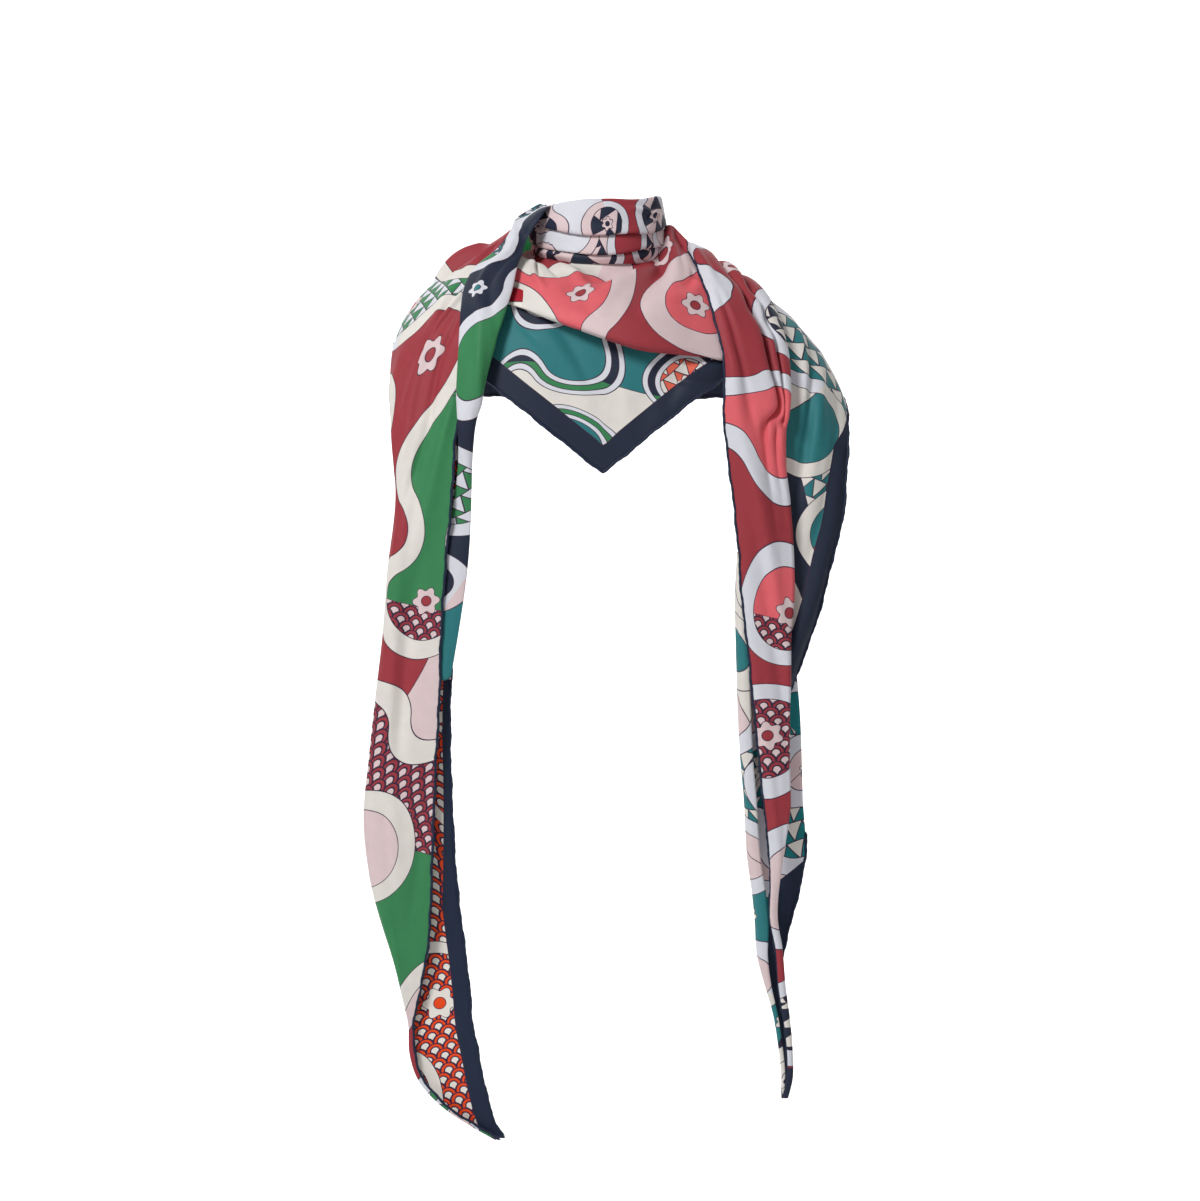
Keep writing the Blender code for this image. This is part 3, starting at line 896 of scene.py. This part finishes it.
def hem(name, line, radius=SHORT_HEM, sides=8):
    """Make a rolled hem along a line of points: a roll with the small dips of its stitches."""
    line = evenly(line, max(4, round(travelled(line)[-1] / STITCH)))
    places = travelled(line)[:, None, None]
    tangent = unit(np.gradient(line, axis=0))
    side = unit(np.cross(tangent, (0.13, 0.99, 0.05)))
    top = np.cross(side, tangent)
    taper = np.minimum(1, 0.35 + np.minimum(places, places[-1] - places) / 4)
    swell = radius * taper * (1 + 0.1 * np.sin(places / 1.15) + 0.07 * np.sin(places / 3.7))
    drift = 0.35 * np.sin(places / 7.3) + 0.25 * np.sin(places / 3.1 + 1)
    angle = (2 * pi * np.arange(sides) / sides)[:, None]
    side, top = side[:, None], top[:, None]
    points = line[:, None] + side * drift + swell * (side * np.cos(angle) + top * np.sin(angle))
    index = np.arange(len(line) * sides).reshape(-1, sides)
    faces = [index[0, ::-1].tolist(), index[-1].tolist()]
    faces += quads(np.concatenate((index, index[:, :1]), axis=1)).tolist()
    return smooth_piece(name, points * MM, faces, [navy_silk])


# --- Materials ---

def shade(red, green, blue):
    """Return a linear colour from 0 to 255 screen values."""
    return tuple(((value / 255 + 0.055) / 1.055) ** 2.4 for value in (red, green, blue)) + (1.0,)


CRIMSON = shade(167, 23, 43)
CORAL = shade(236, 72, 86)
ORANGE = shade(240, 76, 26)
NAVY = shade(34, 44, 66)
TEAL = shade(22, 126, 132)
GREEN = shade(44, 138, 80)
IVORY = shade(238, 232, 224)
COOL = shade(228, 229, 238)
PINK = shade(234, 208, 210)
LINE = shade(62, 38, 66)


def fill(tree, node, inputs):
    """Set a node's inputs, each to a field, another node's output or a plain value."""
    for place, value in dict(inputs).items():
        value = value.socket if isinstance(value, Field) else value
        if isinstance(value, bpy.types.NodeSocket):
            tree.links.new(value, node.inputs[place])
        else:
            node.inputs[place].default_value = value
    return node


def made(tree, kind, inputs=(), **settings):
    """Make a shader node."""
    node = tree.nodes.new("ShaderNode" + kind)
    for name, value in settings.items():
        setattr(node, name, value)
    return fill(tree, node, inputs)


class Field:
    """A number at each point of a material, with the usual arithmetic."""

    def __init__(self, tree, socket):
        self.tree = tree
        self.socket = socket


def arithmetic(operation):
    """Return a method that makes a math node of a field and other values."""
    def method(field, *others):
        node = made(field.tree, "Math", enumerate((field,) + others), operation=operation)
        return Field(field.tree, node.outputs[0])
    return method


for method_name, node_operation in {
        "__add__": "ADD", "__sub__": "SUBTRACT", "__mul__": "MULTIPLY", "__truediv__": "DIVIDE",
        "__mod__": "FLOORED_MODULO", "__lt__": "LESS_THAN", "__gt__": "GREATER_THAN",
        "__abs__": "ABSOLUTE", "floor": "FLOOR", "fraction": "FRACT", "least": "MINIMUM",
        "root": "SQRT", "sine": "SINE", "cosine": "COSINE", "arctan2": "ARCTAN2"}.items():
    setattr(Field, method_name, arithmetic(node_operation))


def distance(a, b):
    """Return the length of the vector (a, b)."""
    return (a * a + b * b).root()


def chance(i, j, seed):
    """Return a fixed random number for each pair of whole numbers."""
    spot = made(i.tree, "CombineXYZ", enumerate((i, j, seed)))
    noise = made(i.tree, "TexWhiteNoise", {"Vector": spot.outputs[0]}, noise_dimensions="3D")
    return Field(i.tree, noise.outputs["Value"])


def picked(number, colours):
    """Return the colour that stands at a whole number's place in a repeating list."""
    ramp = made(number.tree, "ValToRGB", {0: ((number % len(colours)) + 0.5) / len(colours)})
    ramp.color_ramp.interpolation = "CONSTANT"
    stops = ramp.color_ramp.elements
    stops.remove(stops[1])
    for place, colour in enumerate(colours):
        stop = stops[0] if place == 0 else stops.new(place / len(colours))
        stop.color = colour
    return ramp.outputs[0]


def painted(under, *coats):
    """Return the colour under with coats over it, each a colour and the mask where it shows."""
    for colour, mask in coats:
        mix = made(mask.tree, "Mix", {"Factor": mask, 6: under, 7: colour}, data_type="RGBA")
        under = mix.outputs[2]
    return under


def close_to_whole(number, width):
    """Return 1 where a number lies within a width of a whole one."""
    return abs((number + 0.5).fraction() - 0.5) < width


# tile is the side of one tile of the print and small one repeat of its small patterns, in
# millimetres. half is the ribbons' half width and core their core's, as shares of the tile. fields
# and others colour the two sides of the ribbons. scales, teeth and dots are pairs of colours for
# the small patterns and the rosettes. With no fields there are patterns on both sides of the
# ribbons, and with no scales the only pattern is teeth.
Palette = namedtuple("Palette", "tile small half core fields others ribbons cores scales teeth dots")
EYE = 0.26  # radius of a scale's eye, as a share of the scale's width
PETALS = 6.0
PETAL_DEPTH = 0.022
ROSETTE = 0.135  # radius of a rosette, and of its eye, as a share of the tile
ROSETTE_EYE = 0.055
BARE = 0.42  # share of the places for rosettes that stay bare


def fish_scales(colour, shown, run, rise, pair, line):
    """Paint rows of round scales, each with an eye, where shown is 1."""
    run = run + (rise.floor() % 2) * 0.5
    aside = run.fraction() - 0.5
    drop = rise.fraction() * 0.5
    own = distance(aside, drop)
    below = distance(abs(aside) - 0.5, drop * -1.0 + 0.5)
    radius = own.least((own < 0.5) * 9.0 + below)
    outline = (abs(own - 0.5) < line * 2.2) + (abs(radius - EYE) < line * 1.6)
    return painted(colour, (pair[0], shown), (pair[1], shown * (radius < EYE)),
                   (LINE, shown * outline))


def saw_teeth(colour, shown, run, rise, pair, line):
    """Paint rows of triangles where shown is 1."""
    slope = abs(run.fraction() - 0.5) * 2.0 - rise.fraction()
    outline = (abs(slope) < line * 2.6) + close_to_whole(rise, line)
    return painted(colour, (pair[0], shown), (pair[1], shown * (slope > 0.0)),
                   (LINE, shown * outline))


def ribbons(colour, near, band, palette, line):
    """Paint the winding ribbons, some with a core of another colour."""
    colour = painted(colour, (picked((band * 0.5).floor(), palette.ribbons), near < palette.half),
                     (LINE, abs(near - palette.half) < line))
    if palette.core:
        colour = painted(colour, (picked(band.floor() + 1, palette.cores), near < palette.core),
                         (LINE, abs(near - palette.core) < line))
    return colour


def rosettes(colour, x, y, pair, line):
    """Paint small flowers at some of the places where four tiles meet."""
    x, y = x + 0.5, y + 0.5
    shown = chance(x.floor(), y.floor(), 7.0) > BARE
    aside, up = x.fraction() - 0.5, y.fraction() - 0.5
    radius = distance(aside, up)
    petals = (up.arctan2(aside) * PETALS).cosine() * PETAL_DEPTH + ROSETTE
    outline = (abs(radius - petals) < line) + (abs(radius - ROSETTE_EYE) < line)
    return painted(colour, (pair[0], shown * (radius < petals)),
                   (pair[1], shown * (radius < ROSETTE_EYE)), (LINE, shown * outline))


def print_colour(tree, palette):
    """Return the print's colour: winding ribbons, rosettes and fields, some with small patterns."""
    place = made(tree, "UVMap", uv_map="flat")
    split = made(tree, "SeparateXYZ", {0: place.outputs[0]})
    run, rise = (Field(tree, split.outputs[axis]) / (palette.tile * MM) for axis in range(2))
    # Slow waves bend the tiles, so that no row of them is straight.
    x = run + (rise * 2.1 + run * 1.1).sine() * 0.17
    y = rise + (run * 1.9 - rise * 0.8 + 2.0).sine() * 0.19
    line = LINE_WIDTH / 2 / palette.tile

    # Two arcs cross each tile, turned by chance, and join up with those of the next tiles.
    i, j = x.floor(), y.floor()
    flip = chance(i, j, 3.0) > 0.5
    a, b = x.fraction(), y.fraction()
    a = a + flip * (a * -2.0 + 1.0)
    corner = distance(a, b)
    other = distance(a * -1.0 + 1.0, b * -1.0 + 1.0)
    near = abs(corner - 0.5).least(abs(other - 0.5))
    side = ((corner < 0.5) + (other < 0.5) + i + j + flip) % 2

    band = (x + y) * 0.43
    cross = (x - y) * 0.37
    threshold = 0.5 if palette.fields else -1.0
    plain, figured = side < threshold, side > threshold
    seams = plain * close_to_whole(band, line * 0.6) + figured * close_to_whole(cross, line * 0.6)
    colour = painted(picked(band.floor(), palette.fields or palette.others),
                     (picked(cross.floor(), palette.others), figured), (LINE, seams))

    small = palette.tile / palette.small
    kind = cross.floor() % (4 if palette.fields else 1)
    toothed = figured * (abs(kind - 2.0) < 0.5)
    if palette.scales:
        # Their rows run along the tiles' diagonals.
        colour = fish_scales(colour, figured * (kind < 0.5), (x + y) * (small * 0.7071),
                             (x - y) * (small * 1.4142), palette.scales, line * small)
    else:
        toothed = figured
    colour = saw_teeth(colour, toothed, x * small, y * small, palette.teeth, line * small)
    colour = ribbons(colour, near, band, palette, line)
    colour = rosettes(colour, x, y, palette.dots, line)

    edge = Field(tree, made(tree, "Attribute", attribute_name="edge").outputs["Fac"])
    return painted(colour, (LINE, edge < (BORDER + LINE_WIDTH) * MM), (NAVY, edge < BORDER * MM))


def silk(name, palette=None, inner=False):
    """Return silk twill: its print or the border's navy, diagonal weave, and a satin sheen."""
    material = bpy.data.materials.new(name)
    material.use_nodes = True
    tree = material.node_tree
    place = made(tree, "TexCoord").outputs["Object"]
    slub = made(tree, "TexNoise", {"Vector": place, "Scale": 90, "Detail": 3})
    slub = Field(tree, slub.outputs["Fac"])
    # The inner face is less saturated, for the paler reverse of the print, and darker in value as
    # painted shade.
    tint = made(tree, "HueSaturation", {
        "Color": print_colour(tree, palette) if palette else NAVY,
        "Saturation": 0.9 if inner else 1, "Value": slub * 0.12 + (0.84 if inner else 0.94)})
    weave = made(tree, "TexWave", {"Vector": place, "Scale": 420, "Distortion": 0.6},
                 wave_type="BANDS", bands_direction="DIAGONAL")
    relief = Field(tree, weave.outputs["Fac"]) * 0.35 + slub
    bump = made(tree, "Bump", {"Strength": 0.12, "Distance": 0.0004, "Height": relief})
    fill(tree, tree.nodes["Principled BSDF"], {
        "Base Color": tint.outputs[0], "Normal": bump.outputs[0],
        "Roughness": 0.58 if inner else 0.5, "Specular IOR Level": 0.22,
        "Sheen Weight": 0.02, "Sheen Roughness": 0.4})
    return material


WRAP = Palette(40, 21, 0.10, 0, [CRIMSON, PINK, NAVY, COOL], [PINK, NAVY], [COOL, PINK], [],
               None, (NAVY, PINK), (PINK, NAVY))
FRONT = Palette(84, 14, 0.15, 0, [CRIMSON], [CRIMSON, CRIMSON, CORAL], [IVORY, IVORY, PINK], [],
                (ORANGE, IVORY), (CRIMSON, PINK), (PINK, CRIMSON))
BIB = Palette(62, 14, 0.11, 0.04, [TEAL, IVORY, GREEN], [IVORY, TEAL, COOL, TEAL], [COOL, IVORY],
              [CRIMSON, NAVY, GREEN], (TEAL, IVORY), (ORANGE, IVORY), (IVORY, ORANGE))
LEFT = Palette(94, 15, 0.09, 0, [CRIMSON, CRIMSON, PINK, CRIMSON], [CORAL, GREEN, NAVY, GREEN],
               [COOL, IVORY], [], (CRIMSON, PINK), (GREEN, COOL), (PINK, CRIMSON))
STRAND = Palette(70, 15, 0.09, 0, [NAVY, NAVY, TEAL, NAVY], [NAVY, NAVY, TEAL, GREEN],
                 [COOL, PINK], [], (TEAL, COOL), (GREEN, COOL), (COOL, TEAL))
INNER = Palette(110, 16, 0.05, 0, [], [ORANGE], [IVORY], [], (ORANGE, IVORY), (ORANGE, IVORY),
                (IVORY, ORANGE))
RIGHT = Palette(90, 15, 0.09, 0, [CRIMSON, CRIMSON, COOL, CRIMSON], [GREEN, CORAL, NAVY, PINK],
                [COOL, IVORY], [], (CRIMSON, PINK), (NAVY, IVORY), (PINK, CRIMSON))
BACK = Palette(54, 15, 0.13, 0, [PINK, IVORY, PINK], [NAVY, TEAL, NAVY, TEAL], [IVORY, COOL], [],
               (NAVY, IVORY), (TEAL, IVORY), (IVORY, TEAL))
OUTER = Palette(80, 17, 0.09, 0, [TEAL, IVORY, TEAL, CORAL], [IVORY, NAVY, TEAL, IVORY],
                [COOL, IVORY], [], (TEAL, IVORY), (TEAL, IVORY), (IVORY, TEAL))


def both_faces(name, palette):
    """Return the materials of a printed stretch: its outer face and its inner one, duller and painted
    darker as shade.
    """
    return silk(name, palette), silk(name + "_inner", palette, inner=True)


# --- The stretches ---

def finish_sheet(piece, grid, nodes, hems=()):
    """Ride one stretch of cloth and its hems on the root, and hide the solid parts it stands for; its
    size is worked out but not used.
    """
    across, along = lengths(grid, 1)[:, -1], lengths(grid, 0)[-1]
    patches = norm(np.cross(np.diff(grid, axis=0)[:, :-1], np.diff(grid, axis=1)[:-1]), axis=2)
    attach(piece, "root")
    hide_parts(*nodes)
    for roll in hems:
        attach(roll, "root")


def make_neck():
    """Make the folds round the neck."""
    grid = neck_grid()
    down = lengths(grid, 1)
    round_way = NECK_ROUND * (np.arange(len(grid)) / len(grid) - 0.5)
    along = np.repeat(round_way[:, None], grid.shape[1], axis=1)
    shaped = creased(grid, down, along, NECK_CREASES, ripple=0.3)
    # The cloth inside the tucks doesn't show, so it is taken as deeper than it is made.
    out = norm(grid[..., :2] - (NECK_CENTRE, 0), axis=2)
    tucked = np.exp(-((out - out.min(axis=1, keepdims=True)) / 4) ** 2)
    laid = down + np.cumsum(tucked, axis=1) * 1.6
    flat = np.stack((along + laid, along - laid), axis=2) / sqrt(2)
    piece = cloth("neck_wrap_silk", shaped, flat, both_faces("wrap_print", WRAP),
                  ring_turn=(NECK_ROUND / sqrt(2),) * 2)
    finish_sheet(piece, np.concatenate((shaped, shaped[:1])), ["neck_wrap"])


def make_cowl():
    """Make the stretch that bulges over the bib."""
    grid = surface(cowl_net(), [(7, 60), (9, 12)])
    shaped = creased(grid, lengths(grid, 1) - COWL_HIDDEN, down_column(grid, 34), COWL_CREASES)
    piece = cloth("cowl_silk", shaped, turned(flattened(grid, 61), 135, (20, 90)),
                  both_faces("front_print", FRONT))
    finish_sheet(piece, shaped, ["cowl"])


def make_bib():
    """Make the point on the chest."""
    grid = joined([surface(bib_net(half), [(3, 46)]) for half in (BIB_LEFT, BIB_RIGHT)])
    shaped = creased(grid, lengths(grid, 1), down_column(grid, 23), BIB_CREASES, ripple=0.25)
    flat = turned(flattened(grid), 45, (40, 30))
    piece = cloth("bib_silk", shaped, flat, both_faces("bib_print", BIB),
                  off_edge(flat, flat[:, -1]))
    finish_sheet(piece, shaped, ["bib"],
                 hems=[hem("bib_hem", shaped[:, -1])])


def make_left():
    """Make the left tail with its wing, folded like a book: the outer and the inner layer."""
    tail = left_tail_net()
    front = [smooth_curve(row[:5], 9) for row in tail]
    grid, steps, seam = winged(wing_rows(front[0], LEFT_WING, 0), front, [(8, 50)])
    across, along = lengths(grid, 1), down_column(grid, 0, seam)
    shaped = creased(grid, across, along, LEFT_CREASES)

    inner = surface([row[4:] for row in tail], [(4, 36)], steps[-len(tail) + 1:])
    inner[:, 0] = grid[seam:, -1]
    folded = creased(inner, lengths(inner, 1), lengths(inner, 0), INNER_CREASES)
    folded[:, 0] = shaped[seam:, -1]
    inner_flat = flattened(inner)
    # Higher up, the border rolls behind and only a narrow part of it shows.
    inner_edge = off_edge(inner_flat, inner_flat[:, -1])
    inner_edge *= 1.3 + 1.7 * rise_to_one(inner[..., 2], -570, 110)

    # Towards the shoulder's outer end, the wing's border is rolled under.
    flat = flattened(grid, 46)
    edge = off_edge(flat, flat[:seam + 1, -1]) + ROLLED_UNDER * rise_to_one(along, -45, 45)
    edge[seam:] = across[seam:, -1:] - across[seam:] + inner_edge[:, :1]
    outer = cloth("left_outer_silk", shaped, turned(flat, 45), both_faces("left_print", LEFT), edge)
    behind = cloth("left_inner_silk", folded, turned(inner_flat, 20, (31, 11)),
                   both_faces("inner_print", INNER), inner_edge, wrong_side=True)
    finish_sheet(outer, shaped, ["left_tail", "left_wing"],
                 hems=[hem("left_long_hem", shaped[seam + HEM_START:, 0], LONG_HEM),
                       hem("left_wing_hem", shaped[:seam + 1, -1])])
    finish_sheet(behind, folded, ["left_tail"],
                 hems=[hem("left_short_hem", folded[:, -1])])


def make_strand():
    """Make the roll over the left shoulder, behind the tail's hem."""
    grid = surface(strand_net(), [(6, 48)])
    shaped = creased(grid, lengths(grid, 1), down_column(grid, 24), STRAND_CREASES, ripple=0.3)
    piece = cloth("left_strand_silk", shaped, turned(flattened(grid), 45, (150, 40)),
                  both_faces("strand_print", STRAND))
    finish_sheet(piece, shaped, ["left_strand"])


def make_right():
    """Make the right tail's front stretch, with the wing's part by the neck."""
    front = [smooth_curve(row, 27) for row in right_front_net()]
    wing = wing_rows(front[0], RIGHT_WING, RIGHT_SINK, 0, NEAR_WING_END)
    grid, _, seam = winged(wing, front, [(26, 70)])
    along = down_column(grid, 0, seam)
    shaped = creased(grid, lengths(grid, 1), along, RIGHT_CREASES)
    # Only its tip lies near a short edge, which meets the long one there at 45 degrees.
    piece = cloth("right_main_silk", shaped, turned(flattened(grid, 62), 45, (50, 0)),
                  both_faces("right_print", RIGHT), (along[-1] - along) * sin(pi / 4))
    finish_sheet(piece, shaped, ["right_front", "right_wing"],
                 hems=[hem("right_long_hem", shaped[seam + HEM_START:, 0], LONG_HEM)])


def make_right_side():
    """Make the broad outer stretch on the right shoulder, with the wing's outer part."""
    panel = [smooth_curve(row, 9) for row in right_outer_net()]
    wing = wing_rows(panel[0], RIGHT_WING, RIGHT_SINK + 1.5, FAR_WING_START)
    grid, _, seam = winged(wing, panel, [(8, 50)])
    across, along = lengths(grid, 1), down_column(grid, -1, seam)
    shaped = creased(grid, across[:, -1:] - across, along, SIDE_CREASES)
    flat = flattened(grid, 45)
    # At the shoulder's outer end the border is rolled under.
    rolled = rise_to_one(grid[..., 2], -170, 30) * rise_to_one(along, 0, 40)
    piece = cloth("right_side_silk", shaped, turned(flat, 0, (10, 40)),
                  both_faces("outer_print", OUTER),
                  off_edge(flat, flat[:, -1]) + ROLLED_UNDER * rolled)
    finish_sheet(piece, shaped, ["right_outer", "right_wing"],
                 hems=[hem("right_side_hem", shaped[:, -1])])


def make_right_inner():
    """Make the right tail's back layer."""
    grid = surface(right_back_net(), [(2, 8), (5, 26)])
    shaped = creased(grid, lengths(grid, 1), lengths(grid, 0), INNER_CREASES, ripple=0.25)
    flat = flattened(grid)
    # For a stretch the border is turned behind, and the print reaches the side.
    height = grid[..., 2]
    turned_in = rise_to_one(height, -550, 40) * rise_to_one(-height, 355, 45)
    piece = cloth("right_inner_silk", shaped, turned(flat, 0, (30, 70)),
                  both_faces("right_back_print", BACK),
                  off_edge(flat, flat[:, -1]) + 2 * ROLLED_UNDER * turned_in, wrong_side=True)
    finish_sheet(piece, shaped, ["right_back"],
                 hems=[hem("right_short_hem", shaped[height[:, -1] < -505, -1])])


# --- Floor, light and camera ---

def make_stage():
    """Make a pale floor that curves up into a backdrop."""
    profile = [(FLOOR_FRONT, FLOOR), (FLOOR_BACK, FLOOR)]
    profile += [(FLOOR_BACK + FLOOR_CURVE * sin(a), FLOOR + FLOOR_CURVE * (1 - cos(a)))
                for a in np.linspace(0.1, pi / 2, 12)]
    profile.append((FLOOR_BACK + FLOOR_CURVE, BACKDROP_TOP))
    points = [(x, y, z) for y, z in profile for x in (-FLOOR_HALF_WIDTH, FLOOR_HALF_WIDTH)]
    faces = quads(np.arange(len(points)).reshape(-1, 2)).tolist()
    pale = bpy.data.materials.new("pale_floor")
    pale.use_nodes = True
    fill(pale.node_tree, pale.node_tree.nodes["Principled BSDF"],
         {"Base Color": (0.92, 0.92, 0.92, 1), "Roughness": 0.9})
    smooth_piece("floor", points, faces, [pale])


def aimed(name, data, place, aim):
    """Add a light or a camera that looks at a point."""
    thing = added(name, data)
    thing.location = place
    thing.rotation_euler = (Vector(aim) - Vector(place)).to_track_quat("-Z", "Y").to_euler()
    return thing


LIGHTS = table("name place aim size watts", [
    ("key", (-1.6, -2.2, 1.9), (0, 0, -0.3), 0.9, 80),
    ("fill", (2.4, -2.4, 0.2), (0, 0, -0.3), 1.6, 6),
    ("backdrop_left", (-3.0, 3.0, 3.2), (-1.6, 6.6, 0), 2.0, 250),
    ("backdrop_right", (3.0, 3.0, 3.2), (1.6, 6.6, 0), 2.0, 250),
])


def soft_light(name, place, aim, size, watts):
    """Add a square area light that points at a place."""
    light = bpy.data.lights.new(name, "AREA")
    light.size = size
    light.energy = watts
    aimed(name, light, place, aim)


def make_light():
    """Make a soft key light from the left, a weak fill and an evenly lit backdrop."""
    world = bpy.data.worlds.new("studio")
    world.use_nodes = True
    fill(world.node_tree, world.node_tree.nodes["Background"],
         {"Color": (1, 1, 1, 1), "Strength": 0.24})
    bpy.context.scene.world = world
    for row in LIGHTS:
        soft_light(*row)
    bpy.context.scene.view_settings.view_transform = "Standard"


def make_camera():
    """Make the camera, slightly above the scarf and straight in front of it."""
    lens = bpy.data.cameras.new("view")
    lens.sensor_fit = "HORIZONTAL"
    lens.sensor_width = SENSOR
    lens.lens = SENSOR * CAMERA_DISTANCE / VIEW_WIDTH
    rise = radians(CAMERA_RISE)
    back = CAMERA_DISTANCE * Vector((0, -cos(rise), sin(rise)))
    bpy.context.scene.camera = aimed("view", lens, Vector(VIEW_CENTRE) + back, VIEW_CENTRE)


navy_silk = silk("silk_hem")
for make in (make_stage, make_light, make_camera, make_neck, make_cowl, make_bib, make_left,
             make_strand, make_right, make_right_side, make_right_inner):
    make()
